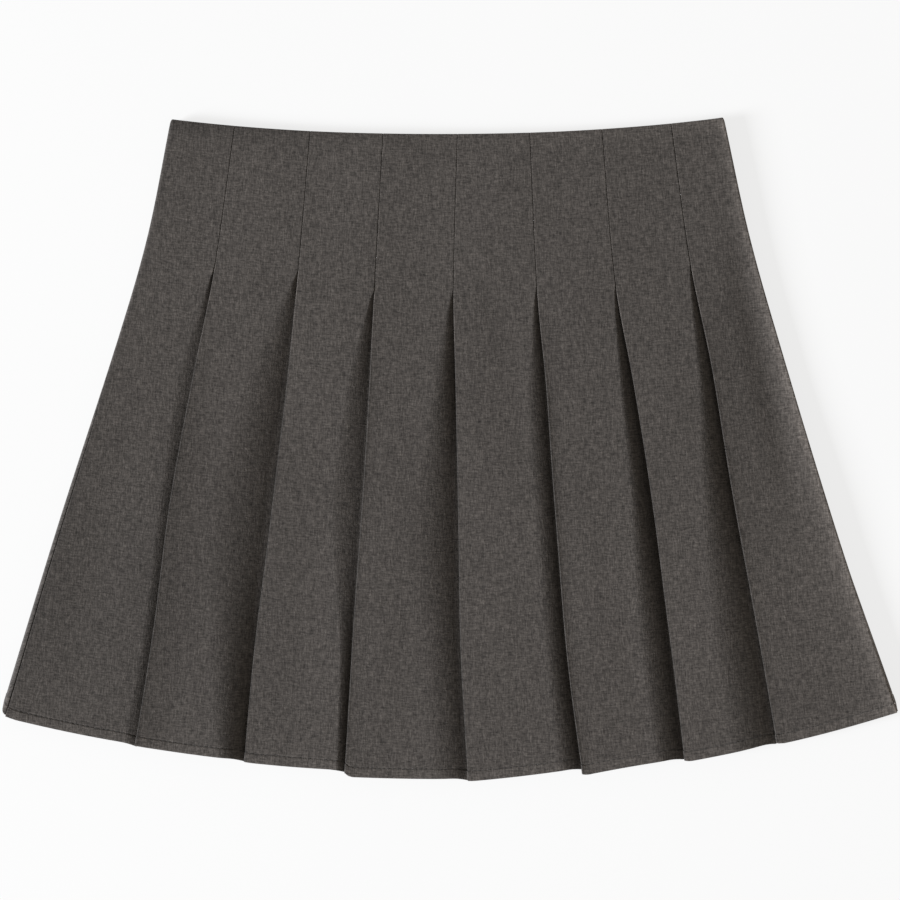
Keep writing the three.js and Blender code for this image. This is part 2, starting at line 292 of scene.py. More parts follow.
# %% Folds
WANDER = 0.2  # how far a free fold strays to either side
WANDER_WAVES = ((1, 7.1, 2.3), (0.6, 17.3, 4.1))  # size, turn down the skirt, and start by pleat
OPENING = 0.16  # the share of the length over which a fold springs open
OPENING_POWER = 0.8  # below 1: quick at first, then slower
# The left side's fold goes from its edge to the start of the front, between two levels. The
# right side's rises from just above the back to half way up its turn, mostly near the hem.
LEFT_FOLD = SimpleNamespace(on_edge=0.3, on_face=0.5, leaves=0.28, arrives=0.55)
RIGHT_FOLD = SimpleNamespace(below=1.5, above=0.5, power=3)


def stitched_to(pleat):
    """The level at which a pleat's stitching ends."""
    return FRONT_FOLDS[pleat - 1].stitched if 0 < pleat < RIGHT_SIDE else BACK_STITCHED


def freedom(pleat, level):
    """0 where a pleat is stitched down, and 1 where it hangs free."""
    if pleat % PLEATS in (0, RIGHT_SIDE):
        return 0.0
    return float(ease(stitched_to(pleat), FREE_LEVEL, level))


def front_fold_x(pleat, level):
    row = FRONT_FOLDS[pleat - 1]
    stray = sum(size * math.sin(turn * level + start * pleat)
                for size, turn, start in WANDER_WAVES)
    straight = through((0, row.stitched, *FREE_LEVELS), (row.waist, row.released, *row.x), level)
    return straight + WANDER * freedom(pleat, level) * stray


def fold_at(tube, pleat):
    """How far round the tube a pleat's fold lies."""
    left_fold = mix(LEFT_FOLD.on_edge, tube.quarter - LEFT_FOLD.on_face,
                    ease(LEFT_FOLD.leaves, LEFT_FOLD.arrives, tube.level))
    right_fold = tube.right_edge + mix(tube.quarter - RIGHT_FOLD.below,
                                       -RIGHT_FOLD.above * tube.quarter,
                                       tube.level ** RIGHT_FOLD.power)
    if pleat == 0:
        return left_fold
    if pleat < RIGHT_SIDE:
        return tube.quarter + front_fold_x(pleat, tube.level) - tube.left
    share = (pleat - RIGHT_SIDE) / (PLEATS - RIGHT_SIDE)
    return mix(right_fold, tube.around + left_fold, share)


def underlay_of(tube, pleat):
    sizes = SIDE_UNDERLAY.get(pleat % PLEATS, UNDERLAY)
    return mix(sizes["waist"], sizes["hem"], tube.level)


def opened(pleat, level):
    """How far a fold has sprung open: at once below its stitching, then ever more slowly."""
    return float(np.clip((level - stitched_to(pleat)) / OPENING, 0, 1)) ** OPENING_POWER


def in_table(values, level):
    """A value of the table at a level, and its first value above the first of those levels."""
    return through(FREE_LEVELS, values, max(level, FREE_LEVELS[0]))


# %% [markdown]
# ## How high a fold stands, and how the cloth beside it goes down
# Each question about a fold has a small answer of its own: how high it stands, how far from it
# the next face starts to roll down and is out of sight, how wide the cloth turns, and how close
# its layers lie. All are small under the stitching and grow as the pleat opens below it.


# %% Heights and rolls
LEFT_STANDS = (0.3, 0.6)  # the levels between which the left side's fold comes to stand
LEFT_CLEARS = (0.35, 0.55)  # and those between which it slips clear of the side


def lift_of(pleat, level):
    """How high a fold of the front stands."""
    if pleat % PLEATS == 0:
        return LEFT_LIFT * float(ease(*LEFT_STANDS, level))
    if pleat >= RIGHT_SIDE:
        return 0.0
    row = FRONT_FOLDS[pleat - 1]
    return opened(pleat, level) * (in_table(row.lift, level) + row.crest)


def roll_of(pleat, level):
    """How far from a fold the face that passes under it starts to roll down."""
    if pleat % PLEATS in (0, RIGHT_SIDE):
        return STITCHED_ROLL
    free = BACK_ROLL
    if pleat < RIGHT_SIDE:
        free = in_table(FRONT_FOLDS[pleat - 1].roll, level)
    return mix(STITCHED_ROLL, free, opened(pleat, level))


def clear_of(pleat, level):
    """How far from a fold the face that passes under it is out of sight."""
    if pleat % PLEATS:
        return FOLD_CLEAR["fold"]
    slipped = float(ease(*LEFT_CLEARS, level))
    return mix(FOLD_CLEAR["fold"], FOLD_CLEAR["left side"], slipped)


def turn_of(pleat, level):
    return mix(FOLD_TURN["stitched"], FOLD_TURN["free"], freedom(pleat, level))


def layer_of(pleat, level):
    """From one folded layer to the next: held tight together under the stitching, looser below."""
    free = TIGHT_LAYER.get(pleat, LAYER["free"])
    return mix(LAYER["stitched"], free, freedom(pleat, level))


def hem_of(pleat):
    if pleat % PLEATS == 0:
        return LEFT_FACE
    if pleat == PLEATS - 1:
        return LEFT_BACK_FACE
    return FRONT_FOLDS[pleat - 1] if pleat < RIGHT_SIDE else BACK_FACE


def hidden_rise(pleat):
    """How far a hidden layer is tucked above the hem of the face that covers it."""
    return max(hem_of(pleat - 1).rise_at_end, hem_of(pleat).rise_at_fold) + TUCK


print("half way down, fold 1 stands", round(lift_of(1, 0.5), 2), "mm high")

# %% [markdown]
# ## One pleat, stretch by stretch
# The cloth of a pleat is drawn in three stretches: the hidden layer that returns to the edge and
# turns round it, the face that shows, and the layer that runs in under the next edge and turns
# back. Each stretch is a row of points in the middle of the cloth. The same number of points is
# used in every section, so that the sections can be joined.
#
# A point has a distance round the tube, a distance out from its faces, and a rise, which is how
# far above the arc its hem ends.

# %% Steps along a stretch
TURN_STEPS, FACE_STEPS, SLOPE_STEPS, RETURN_STEPS, UNDER_STEPS, ARC_STEPS = 6, 17, 8, 5, 4, 14
FACE_SPACING = 1.2  # above 1: points lie closer together near the fold
HOLD = 0.15  # a point this close to a sharp bend keeps the shade from spreading over the face
ARC_CLEAR = 1  # a side's turn starts and ends at least this far inside a stretch


def steps_through(stops, counts):
    """Evenly spaced values from one stop to the next, without the first."""
    return np.concatenate([np.linspace(a, b, count + 1)[1:]
                           for a, b, count in zip(stops, stops[1:], counts)])


def kept_between(stop, start, end):
    """A stop where a side's turn starts or ends, kept a little inside the stretch."""
    if stop is None:
        return None
    return float(np.clip(stop, min(start, end) + ARC_CLEAR, max(start, end) - ARC_CLEAR))


# %% The hidden layer that returns to the edge
def return_stretch(tube, pleat):
    edge, underlay = fold_at(tube, pleat), underlay_of(tube, pleat)
    lift, layer = lift_of(pleat, tube.level), layer_of(pleat, tube.level)
    hem, radius = hem_of(pleat), layer / 2
    turn = turn_of(pleat, tube.level)
    inner, outer = edge + underlay - radius, edge + turn
    arc = {0: tube.quarter, RIGHT_SIDE: tube.right_edge + tube.quarter}.get(pleat)
    arc = kept_between(arc, inner, outer)
    places = (steps_through([inner, outer], [RETURN_STEPS]) if arc is None
              else steps_through([inner, arc, outer], [RETURN_STEPS, ARC_STEPS]))
    at = np.concatenate([[inner], places[:-1]])
    near = fading(at - edge, underlay)
    out = lift * near - layer
    fold_rise = hem.rise_at_fold + hem.corner
    angle = np.linspace(0, math.pi, TURN_STEPS + 1)
    return (np.concatenate([at, edge + turn * (1 - np.sin(angle))]),
            np.concatenate([out, lift - layer + radius * (1 - np.cos(angle))]),
            np.concatenate([mix(hidden_rise(pleat), fold_rise, near), 0 * angle + fold_rise]))


# %% [markdown]
# ## The face of a pleat
# The face starts at its edge and is highest there. It runs on at that height, with a small crest
# at the edge if the table gives one, and then rolls down to lie below the next edge. The two
# faces beside the front's sides come down all the way across instead. A face's hem follows
# its own slope, and on the front it hangs a little where it passes under the next edge.


# %% The face
def face_heights(tube, pleat, at, start, end):
    """How high the face stands at each point before it rolls down."""
    start_fold, end_fold = fold_at(tube, pleat), fold_at(tube, pleat + 1)
    lift = lift_of(pleat, tube.level)
    if 0 < pleat < RIGHT_SIDE:
        row = FRONT_FOLDS[pleat - 1]
        crest = row.crest * opened(pleat, tube.level)
        lift = lift - crest * (1 - fading(at - start_fold, row.crest_reach))
    if pleat == RIGHT_SIDE - 1:
        lift = lift * fading(at - start_fold, LAST_FACE_FALL * (end_fold - start_fold))
    if pleat == 0:
        lift = lift * np.clip((end - at) / (end - start), 0, 1)
    return lift


def face_rise(tube, pleat, at):
    """How far above the arc each point's hem ends."""
    start_fold, end_fold = fold_at(tube, pleat), fold_at(tube, pleat + 1)
    hem = hem_of(pleat)
    share = (at - start_fold) / (end_fold - start_fold)
    rise = (mix(hem.rise_at_fold, hem.rise_at_end, share) + hem.bow * 4 * share * (1 - share)
            + hem.corner * fading(at - start_fold, CORNER_REACH))
    if pleat < RIGHT_SIDE - 1:
        rise = rise - END_DIP * fading(end_fold - at, END_DIP_REACH)
    if pleat == PLEATS - 1:
        rise = rise + SIDE_CORNER * fading(np.abs(at - tube.around), SIDE_CORNER_REACH)
    return rise


def face_stretch(tube, pleat):
    level = tube.level
    low = fold_at(tube, pleat + 1) - clear_of(pleat + 1, level)
    end = low - roll_of(pleat + 1, level)
    start = fold_at(tube, pleat) + turn_of(pleat, level)
    arc = {0: tube.quarter, RIGHT_SIDE - 1: tube.right_edge - tube.quarter,
           RIGHT_SIDE: tube.right_edge + tube.quarter,
           PLEATS - 1: tube.around - tube.quarter}.get(pleat)
    arc = kept_between(arc, start, end)
    first, last = start + HOLD, end - HOLD
    if arc is None:
        shares = np.arange(1, FACE_STEPS + 1) / FACE_STEPS
        at = mix(first, last, shares ** FACE_SPACING)
    else:
        long_first = pleat in (RIGHT_SIDE - 1, PLEATS - 1)
        counts = [FACE_STEPS, ARC_STEPS] if long_first else [ARC_STEPS, FACE_STEPS]
        at = steps_through([first, arc, last], counts)
    at = np.concatenate([[first], at, [end], steps_through([end, low], [SLOPE_STEPS])])
    sink = 2 * layer_of(pleat + 1, level)
    lift = face_heights(tube, pleat, at, start, end)
    bend = FRONT_FOLDS[pleat].bend if pleat < RIGHT_SIDE - 1 else BACK_BEND
    out = lift - (lift + sink) * np.clip((at - end) / (low - end), 0, 1) ** bend
    return at, out, face_rise(tube, pleat, at)


# %% The layer that runs in under the next edge
def under_stretch(tube, pleat, turns):
    nxt = pleat + 1
    edge, layer = fold_at(tube, nxt), layer_of(nxt, tube.level)
    radius = layer / 2
    start = edge + underlay_of(tube, nxt) - radius
    arc = {RIGHT_SIDE: tube.right_edge + tube.quarter, PLEATS: tube.around + tube.quarter}.get(nxt)
    arc = kept_between(arc, edge, start)
    at = (steps_through([edge, start], [UNDER_STEPS]) if arc is None
          else steps_through([edge, arc, start], [ARC_STEPS, UNDER_STEPS]))
    rise = mix(hem_of(pleat).rise_at_end, hidden_rise(nxt), (at - edge) / (start - edge))
    out = np.full_like(at, -2 * layer)
    if not turns:
        return at, out, rise
    angle = np.linspace(0, math.pi, TURN_STEPS + 1)[1:-1]
    return (np.concatenate([at, start + radius * np.sin(angle)]),
            np.concatenate([out, -2 * layer + radius * (1 - np.cos(angle))]),
            np.concatenate([rise, 0 * angle + hidden_rise(nxt)]))


# %% [markdown]
# ## A section of a piece
# One after another, the stretches of all its pleats make the middle line of a piece's cloth. Each
# point also keeps the pleat and the stretch that it came from, and a painted shade: the turn round
# a free fold is painted darker here. That painted shade is not a fact about this cloth: a lamp so
# low would otherwise leave a bright rim along every fold.

# %% The middle line
# painted shade: the turn round each free fold is painted this much darker, and the left side's fold
# gets a share of it
FOLD_SHADE = 0.52
LEFT_FOLD_PAINT_SHARE = 0.25  # the share of that on the left side's fold
RETURN, FACE = 0, 1  # a pleat's first and second stretch


def middle_line(tube, first, last):
    """The middle of a piece's cloth in one section, with the pleat that each point belongs to."""
    stretches = []
    for pleat in range(first, last):
        for part, stretch in enumerate((return_stretch(tube, pleat), face_stretch(tube, pleat),
                                        under_stretch(tube, pleat, pleat + 1 < last))):
            free = freedom(pleat, tube.level) if pleat else LEFT_FOLD_PAINT_SHARE
            painted_fold_shade = np.ones(len(stretch[0]))
            # painted shade on the turn round the fold
            if part == RETURN:
                painted_fold_shade[-TURN_STEPS:] = mix(1, FOLD_SHADE, free)
            origin = np.full((len(stretch[0]), 2), (pleat, part))
            stretches.append(np.column_stack([*stretch, painted_fold_shade, origin]))
    at, out, rise, painted_fold_shade, pleat, part = np.concatenate(stretches).T
    return SimpleNamespace(at=at, out=out, rise=rise, painted_fold_shade=painted_fold_shade, pleat=pleat.astype(int),
                           part=part.astype(int))


line = middle_line(tube_at(0.5), 0, RIGHT_SIDE)
print("a section of the front has", len(line.at), "points in the middle of its cloth")

# %% [markdown]
# ## From a drawn line to a wall of cloth
# The middle line is moved out by half the cloth's thickness to each side of it. The hem is the
# one place where the cloth is thicker, because it is turned up and stitched: it stands a little
# proud below the stitching, and the thread pulls a fine groove. At both edges the cloth rolls
# over, so the wall thins there to a rounded lip.

# %% Thickness
HEM_PROUD, HEM_INSIDE = 0.22, 0.35  # how much the turning thickens the wall to each side
GROOVE_DEPTH, GROOVE_WIDTH = 0.32, 0.38
TURNING_FADE = (0.4, 0.5)  # how far the extra thickness takes to fade out at the stitching
LIP = 0.5  # over this far from an edge the wall is rounded
LIP_LEFT = 0.15  # the share of its thickness that it keeps at the very edge
SHARPEST = 0.75  # keeps the wall from growing too thick where the line bends sharply
WAIST_ROLL, WAIST_ROLL_REACH = 0.5, 3.2  # how far the top edge rolls in, and from where


def wall_offsets(from_waist):
    """How far the outside and the inside of the wall lie from its middle in one row."""
    from_hem = LENGTH - from_waist
    turned = 1 - ease(HEM_TURNING - TURNING_FADE[0], HEM_TURNING + TURNING_FADE[1], from_hem)
    groove = GROOVE_DEPTH * math.exp(-((from_hem - HEM_TURNING) / GROOVE_WIDTH) ** 2)
    near_edge = max(0.0, 1 - min(from_hem, from_waist) / LIP)
    lip = math.sqrt(max(0.0, 1 - near_edge ** 2)) * (1 - LIP_LEFT) + LIP_LEFT
    outside = (CLOTH / 2 + HEM_PROUD * turned) * lip - groove
    inside = (CLOTH / 2 + HEM_INSIDE * turned) * lip
    return outside, inside


def wall_lines(line, outside, inside):
    """The two surfaces of the wall in the strip's own plane."""
    steps = np.column_stack([np.diff(line.at), np.diff(line.out)])
    steps /= np.linalg.norm(steps, axis=1, keepdims=True)
    along = np.vstack([steps[:1], steps]) + np.vstack([steps, steps[-1:]])
    along /= np.linalg.norm(along, axis=1, keepdims=True)
    spread = 1 / np.maximum(SHARPEST, (along * np.vstack([steps[:1], steps])).sum(axis=1))
    across = np.column_stack([-along[:, 1], along[:, 0]]) * spread[:, None]
    middle = np.column_stack([line.at, line.out])
    return middle + across * outside, middle - across * inside


for place, from_waist in (("half way", LENGTH / 2), ("in the hem", LENGTH - HEM_TURNING / 2)):
    print(place, "the wall is", round(sum(wall_offsets(from_waist)), 2), "mm thick")

# %% [markdown]
# ## Where the cloth is not quite flat
# Pressed suiting still has soft troughs: a shallow one down the last panel, and fainter ones
# where a panel was handled or lies on the folds below it. Each is listed with its own place, and
# raises or lowers every layer of the front together, so that no layer is pushed through another.
# The front also rises a little towards both sides, where the cloth turns round and will not lie
# down.

# %% Soft troughs
TROUGH_COLUMNS = ("x", "y", "length", "width", "depth", "lean")
TROUGHS = [SimpleNamespace(**dict(zip(TROUGH_COLUMNS, row))) for row in (
    (190.0, 50.0, 150.0, 9.0, 1.40, 13.0),
    (-205.0, -40.0, 170.0, 17.0, 0.50, -14.0),
    (-150.0, 60.0, 120.0, 14.0, 0.35, -9.0),
    (-86.0, -110.0, 150.0, 16.0, 0.45, -5.0),
    (-20.0, -60.0, 180.0, 15.0, 0.40, -2.0),
    (34.0, 60.0, 120.0, 13.0, 0.35, 3.0),
    (98.0, -70.0, 170.0, 14.0, 0.45, 8.0),
    (146.0, 40.0, 110.0, 12.0, 0.35, 10.0),
    (-10.0, 150.0, 60.0, 40.0, 0.30, 80.0),
)]
RIPPLE = 0.10  # the height of the faint unevenness everywhere
LEFT_RISE, LEFT_RISE_REACH, LEFT_RISE_POWER = 2.2, 95, 1.2
LEFT_RISE_LEVELS = (0.25, 0.55)  # where the left side starts to rise, and where it has risen
RIGHT_RISE, RIGHT_RISE_REACH = (1.0, 2.4), (4.0, 14.0)  # at the waist and at the hem


def side_rise(x, level):
    """How far the front is raised towards its sides, which stand up a little."""
    from_left, from_right = x - side_x("left", level), side_x("right", level) - x
    near_left = np.clip(1 - from_left / LEFT_RISE_REACH, 0, 1) ** LEFT_RISE_POWER
    left = LEFT_RISE * ease(*LEFT_RISE_LEVELS, level) * near_left
    return left + mix(*RIGHT_RISE, level) * np.exp(-from_right / mix(*RIGHT_RISE_REACH, level))


def relief(x, y, level):
    """How far the front is raised or lowered at a place, with a ripple of three slow waves."""
    height = side_rise(x, level)
    for trough in TROUGHS:
        lean = math.radians(trough.lean)
        along = (x - trough.x) * math.sin(lean) - (y - trough.y) * math.cos(lean)
        across = (x - trough.x) * math.cos(lean) + (y - trough.y) * math.sin(lean)
        height -= (trough.depth * np.exp(-(across / trough.width) ** 2)
                   * np.exp(-(along / (trough.length / 2)) ** 4))
    waves = (np.sin(x / 11.0 + 1.1 * np.sin(y / 37.0)) + np.sin(y / 23.0 + x / 29.0 + 0.7)
             + np.sin(x / 19.0 - y / 41.0 + 2.0))
    return height + RIPPLE * waves


print("the deepest trough is", max(trough.depth for trough in TROUGHS), "mm deep")

# %% [markdown]
# ## Where each thread of the cloth starts and ends
# A row of the skirt needs a height on the skirt for each of its points. The top edge dips in the
# middle, the hem is an arc with a slope for each face, and the back is shorter than the front.
# So every point's thread is followed from its place in the top edge to its place in the hem.

# %% Top edge and hem
FRONT_FROM, FRONT_TO = 0.38, 0.62  # the shares of the tube's height where back becomes front


def front_share(tube, z):
    """0 for the layers of the back, 1 for those of the front, and between them on the sides."""
    return ease(FRONT_FROM * tube.height, FRONT_TO * tube.height, z)


def edge_heights(first, last):
    """How high on the skirt each point of a piece's sections starts and ends."""
    waist, hem = tube_at(0), tube_at(1)
    top, bottom = middle_line(waist, first, last), middle_line(hem, first, last)
    top_x, top_z = points_on(waist, top.at, top.out)
    bottom_x, bottom_z = points_on(hem, bottom.at, bottom.out)
    across = np.clip((top_x - side_x("left", 0)) / (side_x("right", 0) - side_x("left", 0)), 0, 1)
    starts = waist_y(across) - BACK_SHORTER["waist"] * (1 - front_share(waist, top_z))
    ends = hem_y(bottom_x) + bottom.rise + BACK_SHORTER["hem"] * (1 - front_share(hem, bottom_z))
    return starts, ends


# %% [markdown]
# ## A map for the weave
# A weave has to follow the cloth round its folds. So each point gets two distances as its UV
# map: across the cloth, along its weft, and down it, along its warp, both in metres. The weave
# runs almost straight down every panel, whatever way its folds run, because the panels are cut
# on the same grain. Only the outer panels are turned a little, as they fan out.

# %% The cloth's map
GRAIN_TURN = math.radians(0.026)  # how far the grain turns for each millimetre from the middle
HALF_FACE = 25  # about half a face, from its edge to its middle


def cloth_map(line, x, y, z, pleats):
    """Distances along the weft and the warp, as the cloth lay before it was folded."""
    weft, warp = np.zeros_like(x), np.zeros_like(x)
    for pleat in pleats:
        own = line.pleat == pleat
        run = np.concatenate([[0], np.cumsum(np.hypot(np.diff(x[own]), np.diff(z[own])))])
        shown = np.argmax(line.part[own] == FACE)
        side = 1 if pleat < RIGHT_SIDE else -1
        centre = x[own][shown] + side * HALF_FACE
        turn = GRAIN_TURN * centre
        flat = side * x[own][shown] + run - run[shown]
        weft[own] = flat * math.cos(turn) + y[own] * math.sin(turn)
        warp[own] = y[own] * math.cos(turn) - flat * math.sin(turn)
    return np.column_stack([weft, warp])


# %% [markdown]
# ## Painted light and shade for each point
# An attribute named "shade" carries light and shade that are painted into the cloth's colour: 1 is
# plain cloth. The values were chosen for the look from above, under this one lamp, and are not
# facts about the cloth. The left side is painted darker. The right side's narrow edge is painted
# much lighter, because the lamp leaves a dark rim there, and a band beside it a little lighter.
# The turned-up hem is painted a little lighter, and a painted gradient runs from dark on the left
# to light on the right at the top edge and down the pleats. The turn round each free fold brings
# its own painted shade.

# %% Shades
# painted shade on the left side, and painted light on the right side's edge and in a band beside it
SIDE_SHADE = {"left": 0.75, "right": 2.3, "beside the right": 0.3}
SIDE_SHADE_REACH = {"right": 4.6, "beside the right": 7.5}
LEFT_SHADE_BEYOND = 0.4  # the left side's shade reaches this far past its turn
SHARP_END, SOFT_END = 4, 2  # how suddenly a shade ends at its reach
LEFT_START = 9  # the sections start this little way before the left side's edge
BESIDE_LEVELS = (0.1, 0.5)  # where the shade beside the right starts, and where it is full
# painted light: the turned-up hem is painted a little lighter
HEM_SHADE, HEM_SHADE_FADE = 1.16, 0.4
# a painted gradient: painted shade left of the middle, painted light right of it, at the top edge
# and down the free pleats
PAINTED_FAN = {"waist": 0.0016, "free": 0.0006}  # for each millimetre from the middle
PAINTED_FAN_WAIST_REACH = 9
PAINTED_FAN_GROWS, PAINTED_FAN_FADES, PAINTED_FAN_FADED = (0.4, 0.8), (0.8, 1), 0.6  # levels, and the share lost


def at_side(distance, reach, power):
    return np.exp(-(distance / reach) ** power)


def side_shade(tube, line):
    from_left = np.abs(np.mod(line.at + LEFT_START, tube.around) - LEFT_START)
    from_right = np.abs(line.at - tube.right_edge)
    beside = SIDE_SHADE["beside the right"] * ease(*BESIDE_LEVELS, tube.level)
    left_reach = tube.quarter + LEFT_SHADE_BEYOND
    right_reach, beside_reach = SIDE_SHADE_REACH["right"], SIDE_SHADE_REACH["beside the right"]
    # painted shade on the left side, painted light on the right edge and beside it
    return (1 + (SIDE_SHADE["left"] - 1) * at_side(from_left, left_reach, SHARP_END)
            + (SIDE_SHADE["right"] - 1) * at_side(from_right, right_reach, SHARP_END)
            + beside * at_side(from_right, beside_reach, SOFT_END))


def shade_of(tube, line, x, from_waist):
    """The painted light and shade of each point of a section."""
    # painted light on the turned-up hem
    hem = 1 + (HEM_SHADE - 1) * ease(HEM_TURNING + HEM_SHADE_FADE, HEM_TURNING - HEM_SHADE_FADE,
                                     LENGTH - from_waist)
    # painted gradient: darker to the left of the middle, lighter to the right
    free = ease(*PAINTED_FAN_GROWS, tube.level) * (1 - PAINTED_FAN_FADED * ease(*PAINTED_FAN_FADES, tube.level))
    at_waist = at_side(from_waist, PAINTED_FAN_WAIST_REACH, SHARP_END)
    fan = 1 + x * (PAINTED_FAN["free"] * free + PAINTED_FAN["waist"] * at_waist)
    return line.painted_fold_shade * side_shade(tube, line) * hem * fan


# %% [markdown]
# ## The wall of a piece
# Each piece is one closed wall through all its rows. Going round the outside and back along the
# inside gives a ring of points for each row. Faces join each ring to the next, and close the
# wall's two open edges, at the waist and at the hem.

# %% Rows of a piece
RAISED_FROM, RAISED_TO = 0.45, 0.62  # relief starts between these shares of the tube's height


def cloth_rows(first, last):
    """Every row of a piece: its points, its cloth map, and its middle line."""
    starts, ends = edge_heights(first, last)
    rows = []
    for level, from_waist in zip(LEVELS, FROM_WAIST):
        tube = tube_at(level)
        line = middle_line(tube, first, last)
        line.out = line.out - WAIST_ROLL * fading(from_waist, WAIST_ROLL_REACH)
        y = mix(starts, ends, level)
        middle_x, middle_z = points_on(tube, line.at, line.out)
        in_front = ease(tube.height * RAISED_FROM, tube.height * RAISED_TO, middle_z)
        raised = relief(middle_x, y, level) * in_front
        sides = []
        for surface in wall_lines(line, *wall_offsets(from_waist)):
            x, z = points_on(tube, *surface.T)
            sides.append(np.column_stack([x, y, np.maximum(z + raised, 0)]))
        weave = cloth_map(line, middle_x, y, middle_z + raised, range(first, last))
        shade = shade_of(tube, line, middle_x, from_waist)
        rows.append(SimpleNamespace(outside=sides[0], inside=sides[1], line=line, map=weave,
                                    shade=shade))
    return rows


# %% Faces and meshes
def wall_faces(rows, size):
    """Four-sided faces round the wall between rows, and across its two open edges."""
    ring, i = np.meshgrid(np.arange(rows - 1), np.arange(size), indexing="ij")
    here, after = ring * size + i, ring * size + (i + 1) % size
    around = np.stack([here, here + size, after + size, after], axis=-1).reshape(-1, 4)
    half = np.arange(size // 2 - 1)
    waist = np.column_stack([half, half + 1, size - 2 - half, size - 1 - half])
    hem = (rows - 1) * size + waist[:, ::-1]
    return np.concatenate([around, waist, hem])


def mesh_object(name, points, faces, uv=None, shade=None):
    mesh = bpy.data.meshes.new(name)
    mesh.from_pydata((points * MM).tolist(), [], faces.tolist())
    if shade is not None:
        mesh.attributes.new("shade", "FLOAT", "POINT").data.foreach_set("value", shade)
    if uv is not None:
        layer = mesh.uv_layers.new(name="cloth")
        corners = np.empty(len(mesh.loops), dtype=np.int32)
        mesh.loops.foreach_get("vertex_index", corners)
        layer.data.foreach_set("uv", (uv[corners] * MM).ravel())
    mesh.polygons.foreach_set("use_smooth", np.ones(len(mesh.polygons), dtype=bool))
    mesh.update()
    piece = bpy.data.objects.new(name, mesh)
    bpy.context.scene.collection.objects.link(piece)
    return piece


def cloth_piece(name, rows):
    rings = [np.concatenate([row.outside, row.inside[::-1]]) for row in rows]
    maps = [np.concatenate([row.map, row.map[::-1]]) for row in rows]
    shades = [np.concatenate([row.shade, row.shade[::-1]]) for row in rows]
    faces = wall_faces(len(rings), len(rings[0]))
    piece = mesh_object(name, np.concatenate(rings), faces, np.concatenate(maps),
                        np.concatenate(shades))
    print(name, "has", 2 * len(faces), "triangles")
    return piece


# %% Make both
front_rows = cloth_rows(0, RIGHT_SIDE)
back_rows = cloth_rows(RIGHT_SIDE, PLEATS)
front = cloth_piece("front_cloth", front_rows)
back = cloth_piece("back_cloth", back_rows)

# %% [markdown]
# ## The line the hem's stitches follow
# One line of stitches holds the turned-up hem, six millimetres above its edge. Each stitch is a
# short plump thread lying in its groove. The line is taken from the cloth itself, face by face,
# with the direction that points out of the cloth, so that each thread can lie flat on it.

# %% The line the stitches follow
STITCH_PITCH, STITCH_LENGTH, THREAD = 3.1, 2.6, 0.42
THREAD_ABOVE = 0.1  # how far the thread's middle lies above its groove, in threads


def stitch_lines(rows):
    """For each face, the points where the stitching runs, and the cloth's outward direction."""
    index = int(np.argmin(np.abs(LENGTH - FROM_WAIST - HEM_TURNING)))
    row, below = rows[index], rows[index + 1]
    lines = []
    for pleat in np.unique(row.line.pleat):
        shown = (row.line.pleat == pleat) & (row.line.part == FACE)
        points, lower = row.outside[shown], below.outside[shown]
        tangent = np.gradient(points, axis=0)
        normal = np.cross(tangent, points - lower)
        normal /= np.linalg.norm(normal, axis=1, keepdims=True)
        lines.append((points + normal * THREAD * THREAD_ABOVE, normal))
    return lines


def path_object(name, lines):
    points = np.concatenate([line for line, _ in lines])
    normals = np.concatenate([normal for _, normal in lines])
    starts = np.cumsum([0] + [len(line) for line, _ in lines])
    edges = [(i, i + 1) for a, b in zip(starts, starts[1:]) for i in range(a, b - 1)]
    mesh = bpy.data.meshes.new(name)
    mesh.from_pydata((points * MM).tolist(), edges, [])
    outward = mesh.attributes.new("outward", "FLOAT_VECTOR", "POINT")
    outward.data.foreach_set("vector", normals.ravel())
    piece = bpy.data.objects.new(name, mesh)
    bpy.context.scene.collection.objects.link(piece)
    return piece


print("the front's hem has", len(stitch_lines(front_rows)), "lines of stitches, one for each face")

# %% [markdown]
# ## Stitches from nodes
# Geometry Nodes spread what repeats. The line is made a curve, points are set along it a stitch
# apart, and one thread is placed on each, turned to the line and to the cloth and a little
# different in size each time, by a fixed seed. Realize Instances makes them real geometry.

# %% The tree of nodes
RING_SIDES, RINGS = 8, 6  # of the ball that becomes a thread
SMALLEST, LARGEST = (0.86, 0.85, 0.8), (1.08, 1.1, 1.1)  # a thread's length, width and height


